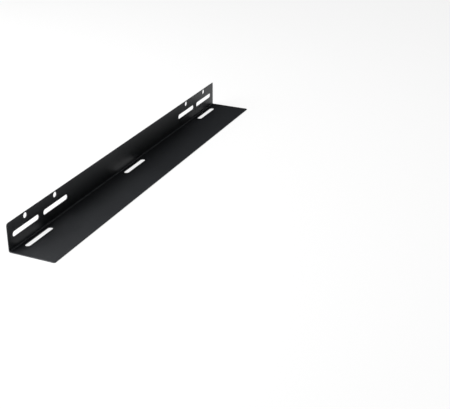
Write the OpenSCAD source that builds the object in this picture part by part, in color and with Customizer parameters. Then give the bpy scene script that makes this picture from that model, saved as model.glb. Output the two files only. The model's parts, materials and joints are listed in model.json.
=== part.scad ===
// Support rail for a server rack: one strip of steel sheet, punched flat and
// folded once along its length into an L. The side flange stands up and bolts
// to the rack; the shelf reaches inwards and carries the equipment. This is the
// left-hand rail as seen from the front of the rack.
//
// Millimetres. +Z is up, +Y runs from the front end to the rear end, and +X
// points from the side flange across the shelf. The underside lies on z = 0 and
// the rail is centred on x = 0 and y = 0.

/* [Sheet] */
// Thickness of the steel sheet
sheet_t = 1.2; // [0.8:0.1:2]
// Radius inside the fold
bend_r = 1.2; // [0.5:0.1:4]

/* [Rail] */
// Length from the front end to the rear end
rail_len = 600; // [400:10:1000]
// Width of the shelf, from the side flange's outer face
shelf_w = 67; // [40:1:120]
// Height of the side flange, from the shelf's underside
flange_h = 39.4; // [36:0.1:44]

/* [Corners] */
// Radius of the side flange's front corner
flange_front_r = 3.5; // [0.5:0.5:8]
// Radius of the side flange's rear corner
flange_rear_r = 1; // [0.5:0.5:8]
// Radius of the shelf's two free corners
shelf_corner_r = 2.5; // [0.5:0.5:8]

/* [Side flange slots] */
// Slots at each end of the side flange
side_slots = 2; // [1:1:3]
// Length of a slot, end to end
side_slot_len = 56.5; // [20:0.5:60]
// Width of a slot
side_slot_w = 7.3; // [5:0.1:10]
// Distance from the rail's end to the middle of its first slot
side_slot_end = 38.4; // [32:0.1:60]
// Distance between the middles of neighbouring slots
side_slot_pitch = 67; // [60:1:90]
// Height of the slots' centre line above the underside
side_slot_z = 20; // [16:0.5:24]

/* [Side flange holes] */
// Diameter of the round hole above each slot
hole_d = 7.5; // [4:0.1:9]
// Distance from the flange's top edge down to the holes' centres
hole_drop = 5; // [4.6:0.1:8]

/* [Shelf slots] */
// Slots along the shelf, evenly spaced
shelf_slots = 3; // [2:1:5]
// Length of a slot, end to end
shelf_slot_len = 56.5; // [20:0.5:80]
// Width of a slot
shelf_slot_w = 7.3; // [5:0.1:10]
// Distance from each end of the rail to the middle of the nearest slot
shelf_slot_end = 50; // [42:0.5:80]
// Distance from the side flange's outer face to the slots' centre line
shelf_slot_x = 11; // [10:0.1:20]

/* [Hidden] */
$fn = 64;
// Radius outside the fold, which is also where the flat stretches begin
fold_r = bend_r + sheet_t;
// Distances of the side flange's slots from the nearest end of the rail
side_stations = [for (i = [0 : side_slots - 1]) side_slot_end + i * side_slot_pitch];
// Distances of the shelf's slots from the front end
shelf_pitch = (rail_len - 2 * shelf_slot_end) / (shelf_slots - 1);
shelf_stations = [for (i = [0 : shelf_slots - 1]) shelf_slot_end + i * shelf_pitch];

// Slot with round ends, lying along X and centred on the origin
module slot(length, width) {
    straight = length - width;
    square([straight, width], center = true);
    for (side = [-1, 1])
        translate([side * straight / 2, 0])
            circle(d = width);
}

// Flat strip between two heights, with its two upper corners rounded
module strip(low, high, front_r, rear_r) {
    translate([front_r, low])
        square([rail_len - front_r - rear_r, high - low]);
    translate([0, low])
        square([front_r, high - front_r - low]);
    translate([rail_len - rear_r, low])
        square([rear_r, high - rear_r - low]);
    translate([front_r, high - front_r])
        circle(r = front_r);
    translate([rail_len - rear_r, high - rear_r])
        circle(r = rear_r);
}

// Side flange as punched: X runs along the rail from the front end, Y is height
module side_flange_outline() {
    difference() {
        strip(fold_r, flange_h, flange_front_r, flange_rear_r);
        for (s = side_stations, y = [s, rail_len - s]) {
            translate([y, side_slot_z])
                slot(side_slot_len, side_slot_w);
            translate([y, flange_h - hole_drop])
                circle(d = hole_d);
        }
    }
}

// Shelf as punched: X runs along the rail from the front end, Y across the shelf
module shelf_outline() {
    difference() {
        strip(fold_r, shelf_w, shelf_corner_r, shelf_corner_r);
        for (y = shelf_stations)
            translate([y, shelf_slot_x])
                slot(shelf_slot_len, shelf_slot_w);
    }
}

// Section of the fold: the lower left quarter of a ring about the fold's axis
module fold_section() {
    intersection() {
        difference() {
            circle(r = fold_r);
            circle(r = bend_r);
        }
        translate([-2 * fold_r, -2 * fold_r])
            square(2 * fold_r);
    }
}

// The whole rail: two flat stretches of the sheet and the fold that joins them
module support_rail() {
    color([0.03, 0.03, 0.033])
        translate([-shelf_w / 2, -rail_len / 2, 0]) {
            rotate([90, 0, 90])
                linear_extrude(sheet_t)
                    side_flange_outline();
            translate([0, 0, sheet_t])
                rotate([180, 0, 90])
                    linear_extrude(sheet_t)
                        shelf_outline();
            translate([fold_r, rail_len, fold_r])
                rotate([90, 0, 0])
                    linear_extrude(rail_len)
                        fold_section();
        }
}

support_rail();
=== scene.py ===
# %% [markdown]
# # A rack support rail in folded, powder-coated steel
# The object is one strip of 1.2 mm sheet steel. A press punches its slots and
# holes while it is flat, a brake folds it once along its length, and a coat of
# black powder is baked on. The low upright side bolts to the posts of a rack,
# and the wide side is the shelf that a box of equipment slides along.
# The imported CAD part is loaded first. Its box and its list of mounts give
# nearly every size that follows, so the finished surface lands where the solid
# is and never has to be fitted by eye.

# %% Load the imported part
import json
import math

import bpy
import numpy as np
from mathutils import Matrix, Vector


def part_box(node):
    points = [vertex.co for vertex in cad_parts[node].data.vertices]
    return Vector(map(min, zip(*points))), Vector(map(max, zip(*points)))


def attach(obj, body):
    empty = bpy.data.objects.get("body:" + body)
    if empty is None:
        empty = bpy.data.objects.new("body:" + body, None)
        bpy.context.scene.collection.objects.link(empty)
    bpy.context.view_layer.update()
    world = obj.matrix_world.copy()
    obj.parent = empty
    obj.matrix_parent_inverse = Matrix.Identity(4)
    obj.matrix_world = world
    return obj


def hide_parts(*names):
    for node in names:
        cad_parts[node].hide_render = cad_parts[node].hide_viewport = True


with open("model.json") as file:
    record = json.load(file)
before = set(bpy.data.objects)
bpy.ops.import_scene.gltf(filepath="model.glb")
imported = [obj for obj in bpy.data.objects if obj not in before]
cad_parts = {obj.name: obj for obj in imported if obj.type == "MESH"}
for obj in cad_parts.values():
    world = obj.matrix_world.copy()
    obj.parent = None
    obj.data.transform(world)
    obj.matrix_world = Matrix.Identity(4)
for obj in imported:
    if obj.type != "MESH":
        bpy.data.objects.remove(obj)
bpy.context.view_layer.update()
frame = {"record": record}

low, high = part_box("support_rail")
rail_length, shelf_width, side_height = high.y - low.y, high.x - low.x, high.z - low.z
print("rail, mm:", [round(1000 * v, 2) for v in (rail_length, shelf_width, side_height)])

# %% [markdown]
# ## The camera
# A camera is placed by where it looks, from which side, how steeply and from
# how far, with a small tilt about the way it looks. These numbers say more to
# a reader than a position and three angles do. A rather long lens from over a
# metre away keeps the long rail from looking stretched.

# %% Place the camera
looks_at = Vector((0.1532, -0.0643, 0.0))
side_angle, down_angle, tilt = (math.radians(a) for a in (23.888, 25.568, 0.248))
camera_distance = 1.291
lens_mm, sensor_mm = 75.64, 36

forward = Vector((-math.sin(side_angle) * math.cos(down_angle),
                  math.cos(side_angle) * math.cos(down_angle),
                  -math.sin(down_angle)))
level_right = forward.cross(Vector((0, 0, 1))).normalized()
level_up = level_right.cross(forward)
right = level_right * math.cos(tilt) + level_up * math.sin(tilt)
up = right.cross(forward)

camera = bpy.data.objects.new("camera", bpy.data.cameras.new("camera"))
camera.data.lens, camera.data.sensor_width = lens_mm, sensor_mm
camera.matrix_world = Matrix.LocRotScale(
    looks_at - forward * camera_distance,
    Matrix((right, up, -forward)).transposed().to_quaternion(), None)
bpy.context.scene.collection.objects.link(camera)
bpy.context.scene.camera = camera
print("camera at, m:", [round(v, 3) for v in camera.location])

# %% [markdown]
# ## One sheet, worked out flat
# A folded part is easiest to describe before it is folded. Every point of the
# sheet gets three numbers: *along* the rail, *across* the strip from the top
# edge of the side, round the fold and out to the edge of the shelf, and
# *through* the thickness, from 0 on the outside of the fold to the sheet's
# thickness on the inside. Openings are plain slots and circles in these
# numbers, and one formula folds the whole sheet at the end.

# %% Sheet and fold sizes
mounts = {m["name"]: m for m in frame["record"]["mounts"]}
sheet = mounts["shelf_top"]["pos_m"][2] - low.z
fold_inside = 0.0012
fold_outside = fold_inside + sheet
side_run = side_height - fold_outside
fold_run = math.pi / 2 * (fold_inside + sheet / 2)
shelf_start = side_run + fold_run
strip_width = shelf_start + shelf_width - fold_outside
print("sheet, mm:", round(1000 * sheet, 3), " flat strip width, mm:", round(1000 * strip_width, 2))

# %% [markdown]
# ## The openings
# The record that comes with the part lists its bolt patterns, each with a
# middle point, a spacing and a radius. Reading the slots and holes from there
# keeps them in step with the solid. Each opening becomes one row of a table:
# its centre along and across the strip, half of its straight part, which is
# nothing for a round hole, and the radius of its ends.

# %% Table of slots and holes
def pattern(name, across):
    """Two openings, at the pattern's middle plus and minus half of its spacing."""
    place, dims = mounts[name]["pos_m"], mounts[name]["dims"]
    spacing = dims.get("spacing_x_mm", dims.get("spacing_y_mm")) / 1000
    radius = dims["hole_r_mm"] / 1000
    straight = max(dims.get("slot_length_mm", 0) / 2000 - radius, 0)
    return [(place[1] - low.y + turn * spacing / 2, across, straight, radius) for turn in (-1, 1)]


rows = []
for name, mount in mounts.items():
    if mount["kind"] == "bolt_pattern" and name.startswith("side"):
        rows += pattern(name, high.z - mount["pos_m"][2])
    elif mount["kind"] == "bolt_pattern":
        rows += pattern(name, shelf_start + mount["pos_m"][0] - low.x - fold_outside)
openings = np.unique(np.round(rows, 6), axis=0)
along_at, across_at, half_straight, end_radius = openings.T
print("openings:", len(openings), " of which slots:", int((half_straight > 0).sum()))

# %% [markdown]
# ## Corners of the strip, and room round the openings
# The free corners are cut round so that nobody is scratched. Each is listed
# with its end of the rail (0 front, 1 rear), its long edge (0 the top of the
# side, 1 the edge of the shelf) and its radius. Each opening gets a rectangle
# with a little room on all sides, in which the mesh will follow its outline.

# %% Corners and rectangles
corners = [(0, 0, 0.0035), (1, 0, 0.001), (0, 1, 0.0025), (1, 1, 0.0025)]
end_reach = max(r for _, _, r in corners)
top_reach, shelf_reach = (max(r for _, edge, r in corners if edge == at) for at in (0, 1))

widest_room = 0.0036
room = np.minimum(widest_room, across_at - end_radius)
half_block_along = half_straight + end_radius + room
half_block_across = end_radius + room
print("room round each opening, mm:", np.round(1000 * room, 2))

# %% [markdown]
# ## Grid lines
# The strip is covered by a grid of straight lines along and across it. A line
# runs through everything that matters: the borders of the rectangles, the ends
# of each straight part, the start of each rounded corner and both sides of the
# fold. Between such marks the gap is divided evenly, finely where something
# curves and coarsely where the sheet is plain.

# %% Lay out the grid lines
corner_step_along, corner_step_across = 0.0004, 0.0005
opening_step, plain_step = 0.0011, 0.0032
steps_round_fold = 12
hair = 1e-6


def ruled(marks, step):
    """Lines through every mark. Each gap is divided evenly, into parts no longer than what step
    gives for the gap's middle."""
    marks = np.unique(np.round(marks, 7))
    counts = [max(1, math.ceil((b - a) / step((a + b) / 2) - hair))
              for a, b in zip(marks[:-1], marks[1:])]
    gaps = [np.linspace(a, b, count, endpoint=False)
            for a, b, count in zip(marks[:-1], marks[1:], counts)]
    return np.concatenate(gaps + [marks[-1:]])


def step_along(at):
    """Fine in the rounded corners and beside the round ends of the openings, coarse elsewhere."""
    off = abs(at - along_at)
    if min(at, rail_length - at) < end_reach:
        return corner_step_along
    by_round_end = (off > half_straight) & (off < half_block_along)
    return opening_step if by_round_end.any() else plain_step


def step_across(at):
    """Finest round the fold and in the corners, fine beside the openings, coarse elsewhere."""
    if side_run < at < shelf_start:
        return fold_run / steps_round_fold
    if at < top_reach or strip_width - at < shelf_reach:
        return corner_step_across
    return opening_step if (abs(at - across_at) < half_block_across).any() else plain_step


lines_along = ruled(np.concatenate([
    [0, rail_length], [abs(end * rail_length - r) for end, _, r in corners],
    along_at - half_block_along, along_at + half_block_along,
    along_at - half_straight, along_at + half_straight]), step_along)
lines_across = ruled(np.concatenate([
    [0, side_run, shelf_start, strip_width],
    [abs(edge * strip_width - r) for _, edge, r in corners],
    across_at - half_block_across, across_at + half_block_across]), step_across)
print("grid lines along and across:", len(lines_along), len(lines_across))

# %% [markdown]
# ## Rectangles of the grid
# The nodes of the grid are numbered, and for each opening the numbers on the
# border of its rectangle are listed once round. The rings that will lead from
# there to the outline of the opening start on these nodes.

# %% Borders round the openings
grid_ids = np.arange(len(lines_along) * len(lines_across)).reshape(
    len(lines_along), len(lines_across))


def nearest(lines, value):
    """Number of the grid line that is closest to a value."""
    return int(np.abs(lines - value).argmin())


def block_of(k):
    """First and last grid line of the rectangle round opening k, along and across."""
    return (nearest(lines_along, along_at[k] - half_block_along[k]),
            nearest(lines_along, along_at[k] + half_block_along[k]),
            nearest(lines_across, across_at[k] - half_block_across[k]),
            nearest(lines_across, across_at[k] + half_block_across[k]))


def loop_round(first_a, last_a, first_c, last_c):
    """Ids of the border of a rectangle of the grid, once round."""
    return np.concatenate([
        grid_ids[first_a:last_a, first_c], grid_ids[last_a, first_c:last_c],
        grid_ids[last_a:first_a:-1, last_c], grid_ids[first_a, last_c:first_c:-1]])


borders = [loop_round(*block_of(k)) for k in range(len(openings))]
print("nodes on each border:", [len(border) for border in borders])

# %% [markdown]
# ## Nodes of the flat sheet
# The press pulls the edges of its cuts a little round and the powder rounds
# them more, so the flat faces end short of each outline. One function gives
# the nodes for any such distance, called *inset* here, and the curved edge is
# then only the same outline at several insets and depths.
# A square of the grid can be pressed into a quarter disc by a smooth formula,
# which makes the rounded corners. Round each opening the rectangle of the grid
# is swapped for rings that run from its border to the outline of the opening.

# %% Flat nodes, corners and rings
ring_count = 4


def flat_nodes(inset):
    """Nodes (along, across) with every edge drawn back by inset.
    In a corner of radius r, a and b are the distances from the circle's centre lines as shares
    of r. The node goes to (r - inset) times (a sqrt(1 - b b / 2), b sqrt(1 - a a / 2)) from the
    centre. Ring nodes divide the straight way from outline to border, and the outline is centre
    line point c plus (radius + inset) along the unit vector from c to the border node."""
    plain_a, plain_c = np.meshgrid(lines_along, lines_across, indexing="ij")
    a = np.clip(plain_a, inset, rail_length - inset)
    c = np.clip(plain_c, inset, strip_width - inset)
    for end, edge, r in corners:
        from_end, from_edge = abs(plain_a - end * rail_length), abs(plain_c - edge * strip_width)
        u, v = 1 - from_end / r, 1 - from_edge / r
        here = (u > -hair) & (v > -hair)
        pressed_a = r - (r - inset) * u * np.sqrt(np.clip(1 - v * v / 2, 0, 1))
        pressed_c = r - (r - inset) * v * np.sqrt(np.clip(1 - u * u / 2, 0, 1))
        a = np.where(here, abs(end * rail_length - pressed_a), a)
        c = np.where(here, abs(edge * strip_width - pressed_c), c)
    nodes = [np.stack([a, c], -1).reshape(-1, 2)]
    share = np.arange(ring_count)[:, None, None] / ring_count
    for k, border in enumerate(borders):
        p = nodes[0][border]
        centre = np.stack([
            np.clip(p[:, 0], along_at[k] - half_straight[k], along_at[k] + half_straight[k]),
            np.full(len(p), across_at[k])], -1)
        way = (p - centre) / np.linalg.norm(p - centre, axis=1, keepdims=True)
        outline = centre + (end_radius[k] + inset) * way
        nodes.append((outline + (p - outline) * share).reshape(-1, 2))
    return np.concatenate(nodes)


node_count = len(flat_nodes(0))
print("nodes on one face of the sheet:", node_count)

# %% [markdown]
# ## Faces of the flat sheet
# Neighbouring nodes are joined into four-sided faces. The cells inside the
# rectangles are left out and the rings fill their place. The outlines are kept
# as closed loops of node numbers, because the edge of the sheet grows on them.

# %% Join the nodes
def joined(rows_of_ids):
    """Four-sided faces between neighbouring rows of a closed band of node ids."""
    here, after = rows_of_ids[:-1], rows_of_ids[1:]
    return np.stack([here, np.roll(here, -1, 1), np.roll(after, -1, 1), after], -1).reshape(-1, 4)


solid_cell = np.ones((len(lines_along) - 1, len(lines_across) - 1), bool)
outlines = [loop_round(0, len(lines_along) - 1, 0, len(lines_across) - 1)]
ring_faces, next_id = [], grid_ids.size
for k, border in enumerate(borders):
    first_a, last_a, first_c, last_c = block_of(k)
    solid_cell[first_a:last_a, first_c:last_c] = False
    rings = next_id + np.arange(ring_count * len(border)).reshape(ring_count, -1)
    ring_faces.append(joined(np.concatenate([rings, border[None]])))
    outlines.append(rings[0][::-1])
    next_id += rings.size
cells = np.stack([grid_ids[:-1, :-1], grid_ids[:-1, 1:], grid_ids[1:, 1:], grid_ids[1:, :-1]], -1)
sheet_faces = np.concatenate([cells[solid_cell]] + ring_faces)
print("faces on one side of the sheet:", len(sheet_faces), " outlines:", len(outlines))

# %% [markdown]
# ## The edge of the sheet
# A punch enters from one side, so a cut edge isn't the same on both: the side
# that the punch meets is drawn round, and the far side breaks off sharper. The
# profile is a quarter circle, a straight wall and a smaller quarter circle.
# Each of its points says how far in from the outline it is, how deep through
# the sheet, and which way the surface faces there.

# %% Edge profile
edge_round_inside, edge_round_outside = 0.00034, 0.00022
points_per_arc = 6
arc = np.radians(np.linspace(0, 90, points_per_arc))
edge_inset = np.concatenate([edge_round_inside * (1 - np.sin(arc)),
                             edge_round_outside * (1 - np.cos(arc))])
edge_depth = np.concatenate([sheet - edge_round_inside * (1 - np.cos(arc)),
                             edge_round_outside * (1 - np.sin(arc))])
edge_out = np.concatenate([np.sin(arc), np.cos(arc)])
edge_up = np.concatenate([np.cos(arc), -np.sin(arc)])
print("points on the edge profile:", len(edge_inset))

# %% [markdown]
# ## Inner face, outer face and edges together
# Both faces of the sheet use the same node numbers, a fixed step apart. The
# edge profile is carried along every outline, and its first and last rows are
# the outlines of the two faces, so the mesh closes without a seam. Beside each
# point goes the direction it faces. Blender averages the faces round a point
# for that, which draws soft smears beside a sharp little edge, and a direction
# that is worked out keeps the big faces truly flat.
# Two more numbers go with each point for the coat to use: how near it is to a
# cut edge, from 0 to 1, and how far it is from the middle of the fold.

# %% Build the sheet's points in sheet coordinates
rim_nearness = 0.8
inner, outer = flat_nodes(edge_inset[0]), flat_nodes(edge_inset[-1])
points = [np.column_stack([inner, np.full(node_count, sheet)]),
          np.column_stack([outer, np.zeros(node_count)])]
facing = [np.tile([0.0, 0, 1], (node_count, 1)), np.tile([0.0, 0, -1], (node_count, 1))]
faces = [sheet_faces, sheet_faces[:, ::-1] + node_count]
nearness = np.zeros(2 * node_count)
at_inset = [flat_nodes(inset) for inset in edge_inset]
full_size, next_id = flat_nodes(0), 2 * node_count
for loop in outlines:
    outward = full_size[loop] - inner[loop]
    outward /= np.linalg.norm(outward, axis=1, keepdims=True)
    wall_ids = [loop]
    for m in range(1, len(edge_inset) - 1):
        points.append(np.column_stack([at_inset[m][loop], np.full(len(loop), edge_depth[m])]))
        facing.append(np.column_stack([outward * edge_out[m], np.full(len(loop), edge_up[m])]))
        wall_ids.append(next_id + np.arange(len(loop)))
        next_id += len(loop)
    faces.append(joined(np.array(wall_ids + [loop + node_count])))
    nearness[loop] = nearness[loop + node_count] = rim_nearness
points, facing, faces = np.concatenate(points), np.concatenate(facing), np.concatenate(faces)
nearness = np.concatenate([nearness, np.ones(len(points) - len(nearness))])
from_fold = points[:, 1] - (side_run + shelf_start) / 2
print("points:", len(points), " faces:", len(faces))

# %% [markdown]
# ## Fold it
# The side stands, the shelf lies, and between them the sheet turns through a
# quarter circle about a line along the rail. Because the turn is held at 0
# before the fold and at 90 degrees after it, one formula serves all three.

# %% The fold as a formula
def folded(sheet_points):
    """Row-frame positions, and the two directions that *across* and *through* turn into.
    The angle t grows from 0 to 90 degrees over the fold. Position = fold centre + (outside radius
    - depth) times (-cos t, -sin t), then straight on: down the side before the fold, out along
    the shelf after it."""
    along, across, depth = sheet_points.T
    t = np.clip((across - side_run) / fold_run, 0, 1) * math.pi / 2
    before, after = np.minimum(across - side_run, 0), np.maximum(across - shelf_start, 0)
    radius = fold_outside - depth
    place = np.stack([low.x + fold_outside - radius * np.cos(t) + after, low.y + along,
                      low.z + fold_outside - radius * np.sin(t) - before], -1)
    level = np.zeros_like(t)
    across_way = np.stack([np.sin(t), level, -np.cos(t)], -1)
    through_way = np.stack([np.cos(t), level, np.sin(t)], -1)
    return place, across_way, through_way


place, across_way, through_way = folded(points)
normals = (facing[:, :1] * np.array([0.0, 1, 0]) + facing[:, 1:2] * across_way
           + facing[:, 2:] * through_way)
print("folded size, mm:", np.round(1000 * (place.max(0) - place.min(0)), 2))

# %% [markdown]
# ## Put the surface into a mesh
# The unused nodes inside the openings are dropped first. The enclosed volume
# is added up from the faces as a check: it comes out positive only when every
# face looks outwards, and near the solid's volume only when nothing is open.

# %% Make the rail
kept, numbers = np.unique(faces, return_inverse=True)
faces = numbers.reshape(faces.shape)
place, normals = place[kept], normals[kept]

rail_mesh = bpy.data.meshes.new("support_rail_surface")
rail_mesh.from_pydata(place, [], faces)
rail_mesh.shade_smooth()
rail_mesh.normals_split_custom_set_from_vertices(normals)
for name, values in (("near_edge", nearness), ("from_fold", from_fold)):
    attribute = rail_mesh.attributes.new(name, "FLOAT", "POINT")
    attribute.data.foreach_set("value", values[kept].astype(np.float32))
rail = bpy.data.objects.new("support_rail_surface", rail_mesh)
bpy.context.scene.collection.objects.link(rail)
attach(rail, "root")
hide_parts("support_rail")

a, b, c, d = (place[faces[:, k]] for k in range(4))
six_volumes = np.einsum("ij,ij->i", a, np.cross(b, c)) + np.einsum("ij,ij->i", a, np.cross(c, d))
print("triangles:", 2 * len(faces), " volume, mm3:", round(six_volumes.sum() / 6 * 1e9, 1),
      " valid:", not rail_mesh.validate())

# %% [markdown]
# ## Helpers for node trees
# Short helpers keep the node cells readable. The first two do the work: one
# adds a node with its settings, and one fills an input with either a value or
# another node's output. The others each stand for one kind of node.

# %% Node helpers
def add(tree, kind, **settings):
    """A new node of that kind with its settings made."""
    node = tree.nodes.new(kind)
    for key, value in settings.items():
        setattr(node, key, value)
    return node


def feed(tree, socket, source):
    """A value goes into the socket itself, and an output is linked to it."""
    if isinstance(source, bpy.types.NodeSocket):
        tree.links.new(source, socket)
    else:
        socket.default_value = source


def maths(tree, operation, *terms):
    """The output of a Math node working on values or outputs."""
    node = add(tree, "ShaderNodeMath", operation=operation)
    for k, term in enumerate(terms):
        feed(tree, node.inputs[k], term)
    return node.outputs[0]


def blend(tree, factor, first, second, kind="RGBA"):
    """Two colours, or two numbers for the kind FLOAT, mixed by a factor."""
    node = add(tree, "ShaderNodeMix", data_type=kind)
    for label, source in (("Factor", factor), ("A", first), ("B", second)):
        feed(tree, node.inputs[label], source)
    return node.outputs["Result"]


def eased(tree, value, from_min, from_max, to_min, to_max):
    """A value carried smoothly from one range to another and held at both ends."""
    node = add(tree, "ShaderNodeMapRange", interpolation_type="SMOOTHSTEP")
    for label, source in (("Value", value), ("From Min", from_min), ("From Max", from_max),
                          ("To Min", to_min), ("To Max", to_max)):
        feed(tree, node.inputs[label], source)
    return node.outputs["Result"]


print("node helpers:", [helper.__name__ for helper in (add, feed, maths, blend, eased)])

# %% [markdown]
# ## The skin of a powder coat
# Powder is sprayed on dry, melts in the oven and flows together, but never to
# glass. What stays is a soft *orange peel* with lumps a millimetre or two
# across, and on a fine-texture black a second, sharper grain on top of about
# half a millimetre. Both are heights, so they belong in a bump. They go into a
# node group, with their sizes in metres as its inputs.

# %% Group: powder texture
def noise(tree, vector, size, detail=2.0, roughness=0.5):
    """Noise whose lumps are about size metres across, or the size that an output gives."""
    node = add(tree, "ShaderNodeTexNoise")
    feed(tree, node.inputs["Vector"], vector)
    feed(tree, node.inputs["Scale"], maths(tree, "DIVIDE", 1.0, size))
    node.inputs["Detail"].default_value, node.inputs["Roughness"].default_value = detail, roughness
    return node.outputs["Fac"]


def new_group(name, inputs, outputs):
    """A shader node group with named inputs and outputs; returns the tree and its end nodes."""
    tree = bpy.data.node_groups.new(name, "ShaderNodeTree")
    for label, kind, value in inputs:
        socket = tree.interface.new_socket(label, in_out="INPUT", socket_type=kind)
        if value is not None:
            socket.default_value = value
    for label, kind in outputs:
        tree.interface.new_socket(label, in_out="OUTPUT", socket_type=kind)
    return tree, add(tree, "NodeGroupInput"), add(tree, "NodeGroupOutput")


powder, inside, result = new_group(
    "powder_texture",
    [("Point", "NodeSocketVector", None), ("Peel size", "NodeSocketFloat", 0.0016),
     ("Grain size", "NodeSocketFloat", 0.0005), ("Grain share", "NodeSocketFloat", 0.4)],
    [("Height", "NodeSocketFloat")])
at, peel_size, grain_size, grain_share = (
    inside.outputs[label] for label in ("Point", "Peel size", "Grain size", "Grain share"))
peel = noise(powder, at, peel_size, detail=1.0)
grain = noise(powder, at, grain_size, detail=1.5, roughness=0.6)
feed(powder, result.inputs["Height"], blend(powder, grain_share, peel, grain, "FLOAT"))
print("powder texture nodes:", len(powder.nodes))

# %% [markdown]
# ## Slow changes of tone and gloss
# No coat is even over half a metre. Its thickness drifts with the path of the
# spray gun, and with it the gloss and a trace of the tone. Two noises of very
# different size, the larger stretched along the rail as a gun pass is, give
# that drift as values round 0 that a material adds to its roughness and tone.

# %% Group: spray drift
pass_stretch = (1.0, 0.35, 1.0)
drift, inside, result = new_group(
    "spray_drift",
    [("Point", "NodeSocketVector", None), ("Pass size", "NodeSocketFloat", 0.06),
     ("Cloud size", "NodeSocketFloat", 0.009)],
    [("Pass", "NodeSocketFloat"), ("Cloud", "NodeSocketFloat")])
stretched = add(drift, "ShaderNodeMapping")
stretched.inputs["Scale"].default_value = pass_stretch
feed(drift, stretched.inputs["Vector"], inside.outputs["Point"])
wide = noise(drift, stretched.outputs["Vector"], inside.outputs["Pass size"])
small = noise(drift, inside.outputs["Point"], inside.outputs["Cloud size"],
              detail=3.0, roughness=0.6)
for label, lumps in (("Pass", wide), ("Cloud", small)):
    feed(drift, result.inputs[label], maths(drift, "SUBTRACT", lumps, 0.5))
print("spray drift nodes:", len(drift.nodes))

# %% [markdown]
# ## Satin black powder coat
# The coat is a plastic, so it is no metal to the shader: a nearly black base
# colour, a clear but broad highlight, and no second coat. The colour drifts
# slowly between two blacks that both lean a little to blue, mostly with the
# passes of the gun and less with the small clouds.

# %% Coat: the black
deep_black, thin_black = (0.0115, 0.0125, 0.0146, 1), (0.0190, 0.0205, 0.0236, 1)
cloud_in_tone = 0.5

coat = bpy.data.materials.new("satin_black_powder_coat")
coat.use_nodes = True
tree = coat.node_tree
shader = next(n for n in tree.nodes if n.type == "BSDF_PRINCIPLED")
point = add(tree, "ShaderNodeTexCoord").outputs["Object"]
drifting = add(tree, "ShaderNodeGroup", node_tree=drift)
feed(tree, drifting.inputs["Point"], point)
tone = maths(tree, "MULTIPLY_ADD", drifting.outputs["Cloud"], cloud_in_tone,
             maths(tree, "ADD", drifting.outputs["Pass"], 0.5))
black = blend(tree, tone, deep_black, thin_black)
rail_mesh.materials.append(coat)
print("blacks:", deep_black[:3], thin_black[:3])

# %% [markdown]
# ## Painted highlights, and dust
# A fine lighter line along the fold from end to end is a painted highlight: it
# stands in for the light that the inside of the bend catches. The cut edges are
# lighter too, a painted highlight for the light that their rounded edges catch.
# The mesh carries *from_fold* and *near_edge* for the two, so both stay exactly
# where the shape has them. A few specks of dust break up the large faces.

# %% Coat: painted highlights on fold and edges, and dust
# Colours of the painted fold highlight and the painted edge highlight; the dust colour is the
# coat's own
fold_highlight_colour, edge_highlight_colour = (0.105, 0.110, 0.119, 1), (0.035, 0.036, 0.038, 1)
dust_colour, dust_size = (0.09, 0.09, 0.09, 1), 0.0009
line_solid_to, line_gone_at = 0.0013, 0.0021
edge_highlight_share, dust_share = 0.5, 0.5
dust_starts, dust_full = 0.80, 0.86


def carried(name):
    """A number that the mesh carries on its points."""
    return add(tree, "ShaderNodeAttribute", attribute_name=name).outputs["Fac"]


edge = carried("near_edge")
off_fold = maths(tree, "ABSOLUTE", carried("from_fold"))
fold_highlight_mask = eased(tree, off_fold, line_solid_to, line_gone_at, 1.0, 0.0)
# Painted highlight: the fold line is lightened in the base colour
fold_highlighted = blend(tree, fold_highlight_mask, black, fold_highlight_colour)
# Painted highlight: the cut edges are lightened in the base colour
edge_highlighted = blend(tree, maths(tree, "MULTIPLY", edge, edge_highlight_share), fold_highlighted, edge_highlight_colour)
specks = eased(tree, noise(tree, point, dust_size, detail=0.0),
               dust_starts, dust_full, 0.0, dust_share)
feed(tree, shader.inputs["Base Color"], blend(tree, specks, edge_highlighted, dust_colour))
print("fold line, mm each way:", round(1000 * line_solid_to, 2), round(1000 * line_gone_at, 2))

# %% [markdown]
# ## Gloss and bump
# Satin means a roughness near one half. It drifts with the spray, and the
# rounded edges come out a touch smoother. The highlight leans to blue as the
# colour does. The powder texture is far too fine to model and goes in as a
# bump whose height is a tenth of a millimetre.

# %% Coat: gloss and bump
satin, pass_in_gloss, cloud_in_gloss, edge_smoother = 0.46, 0.16, 0.10, 0.08
coat_ior, highlight_tint = 1.52, (0.94, 0.975, 1.0, 1)
bump_strength, bump_height = 0.7, 0.00010

gloss = maths(tree, "MULTIPLY_ADD", drifting.outputs["Pass"], pass_in_gloss,
              maths(tree, "MULTIPLY_ADD", drifting.outputs["Cloud"], cloud_in_gloss, satin))
feed(tree, shader.inputs["Roughness"], maths(tree, "MULTIPLY_ADD", edge, -edge_smoother, gloss))
shader.inputs["IOR"].default_value = coat_ior
shader.inputs["Specular Tint"].default_value = highlight_tint

texture = add(tree, "ShaderNodeGroup", node_tree=powder)
feed(tree, texture.inputs["Point"], point)
bump = add(tree, "ShaderNodeBump")
bump.inputs["Strength"].default_value = bump_strength
bump.inputs["Distance"].default_value = bump_height
feed(tree, bump.inputs["Height"], texture.outputs["Height"])
feed(tree, shader.inputs["Normal"], bump.outputs["Normal"])
print("powder coat nodes:", len(tree.nodes))

# %% [markdown]
# ## A white table
# The rail lies on a large white table. The lamps alone would leave it pale
# grey, so it has some light of its own, which only the camera and reflections
# see. That takes it to clean white, while the soft contact shadow of the rail
# still shows and the rail gets no more light from below than a table gives.

# %% Floor
table_reach, table_grey = 12.0, 0.82
own_strength, own_share = 1.12, 0.75

floor_mesh = bpy.data.meshes.new("studio_table")
turns = ((-1, -1), (1, -1), (1, 1), (-1, 1))
floor_mesh.from_pydata([(x * table_reach, y * table_reach, low.z) for x, y in turns],
                       [], [(0, 1, 2, 3)])
floor = bpy.data.objects.new("studio_table", floor_mesh)
bpy.context.scene.collection.objects.link(floor)


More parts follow.
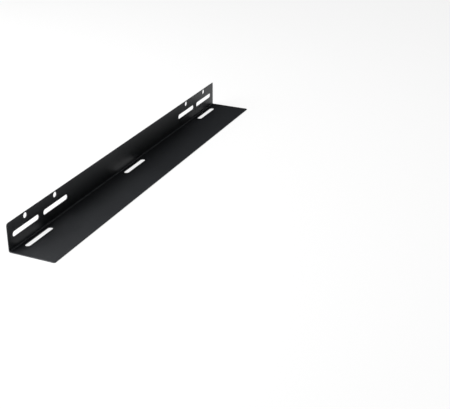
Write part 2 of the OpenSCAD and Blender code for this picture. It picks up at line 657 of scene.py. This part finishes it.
def seen_directly(tree):
    """1 for rays from the camera and for mirrored or see-through ones, 0 for the light that
    fills the room."""
    path = add(tree, "ShaderNodeLightPath")
    either = maths(tree, "MAXIMUM", path.outputs["Is Camera Ray"], path.outputs["Is Glossy Ray"])
    return maths(tree, "MAXIMUM", either, path.outputs["Is Transmission Ray"])


table = bpy.data.materials.new("white_table")
table.use_nodes = True
tree = table.node_tree
tree.nodes.clear()
white = add(tree, "ShaderNodeBsdfDiffuse")
white.inputs["Color"].default_value = (table_grey, table_grey, table_grey, 1)
own_light = add(tree, "ShaderNodeEmission")
own_light.inputs["Strength"].default_value = own_strength
shown = add(tree, "ShaderNodeMixShader")
feed(tree, shown.inputs["Fac"], maths(tree, "MULTIPLY", seen_directly(tree), own_share))
feed(tree, shown.inputs[1], white.outputs[0])
feed(tree, shown.inputs[2], own_light.outputs[0])
feed(tree, add(tree, "ShaderNodeOutputMaterial").inputs["Surface"], shown.outputs[0])
floor_mesh.materials.append(table)
print("table reaches, m:", table_reach, " nodes:", len(tree.nodes))

# %% [markdown]
# ## A dim room
# A satin black surface shows what it mirrors more than its own colour. A broad
# bright sky would turn the whole rail grey, so the sky is nearly dark, with a
# paler band just above the horizon that the surfaces pick up where they are
# seen at a flat angle.

# %% Sky
at_horizon, overhead, band_top = 0.22, 0.035, 0.16

world = bpy.data.worlds.new("studio")
bpy.context.scene.world = world
world.use_nodes = True
tree = world.node_tree
sky = next(n for n in tree.nodes if n.type == "BACKGROUND")
sky.inputs["Color"].default_value = (1, 1, 1, 1)
direction = add(tree, "ShaderNodeSeparateXYZ")
feed(tree, direction.inputs[0], add(tree, "ShaderNodeTexCoord").outputs["Generated"])
feed(tree, sky.inputs["Strength"],
     eased(tree, direction.outputs["Z"], 0.0, band_top, at_horizon, overhead))
print("sky strength at the horizon and overhead:", at_horizon, overhead)

# %% [markdown]
# ## Soft lamps on one side
# All the lamps stand on the outer side of the upright. They light the shelf
# over its top edge, so the shelf looks dark grey, and leave the inner face of
# the upright turned away from them. It mirrors mostly the dark shelf and goes
# nearly black, broken only where it mirrors the white table through the slots.
# Large lamps at about a metre keep every change of tone soft.

# %% Lamps
lamps_face = Vector((0, -0.1, 0))


def softbox(name, at, size, power):
    """A square lamp of that size in metres, with its power in watts. It isn't seen directly."""
    lamp = bpy.data.lights.new(name, "AREA")
    lamp.shape, lamp.size, lamp.energy = "SQUARE", size, power
    thing = bpy.data.objects.new(name, lamp)
    thing.matrix_world = Matrix.LocRotScale(
        Vector(at), (Vector(at) - lamps_face).to_track_quat("Z", "Y"), None)
    thing.visible_camera = False
    bpy.context.scene.collection.objects.link(thing)


softbox("lamp_front_left", (-0.70, -1.10, 0.57), 1.0, 20.0)
softbox("lamp_left", (-1.15, -0.52, 0.57), 1.0, 8.5)
softbox("lamp_rear_left", (-0.92, 0.15, 0.95), 1.0, 5.5)
softbox("lamp_above", (-0.22, -0.15, 1.30), 0.9, 5.0)

# %% [markdown]
# ## Finish
# Colours are shown with the plain *Standard* view, so that a colour comes out
# as it was written. A looks-only piece must not grow past the part it stands
# for.

# %% Finish
bpy.context.scene.view_settings.view_transform = "Standard"
